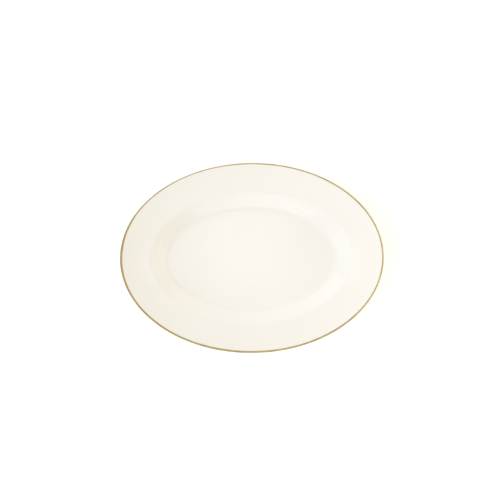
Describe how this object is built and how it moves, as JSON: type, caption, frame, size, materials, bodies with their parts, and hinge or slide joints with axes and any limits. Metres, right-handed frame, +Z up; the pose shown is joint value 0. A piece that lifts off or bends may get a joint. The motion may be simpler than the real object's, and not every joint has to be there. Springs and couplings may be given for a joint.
{
  "type": "oval china serving platter",
  "caption": "Oval china serving platter with a wide plain flange, a finely stepped verge, a shallow well, an oval foot ring and a gilded lip.",
  "frame": {"origin": "middle of the plane that the foot ring stands on", "axes": "+X along the length, +Y across the width, +Z up out of the well"},
  "size_m": [0.356, 0.2688, 0.0275],
  "materials": {
    "fired_china": "matte",
    "ivory_glaze": "gloss",
    "gilding": "satin"
  },
  "bodies": {
    "root": {"china_body": "fired_china", "glaze_coat": "ivory_glaze", "base_glaze": "ivory_glaze", "gold_rim_band": "gilding"}
  },
  "joints": []
}
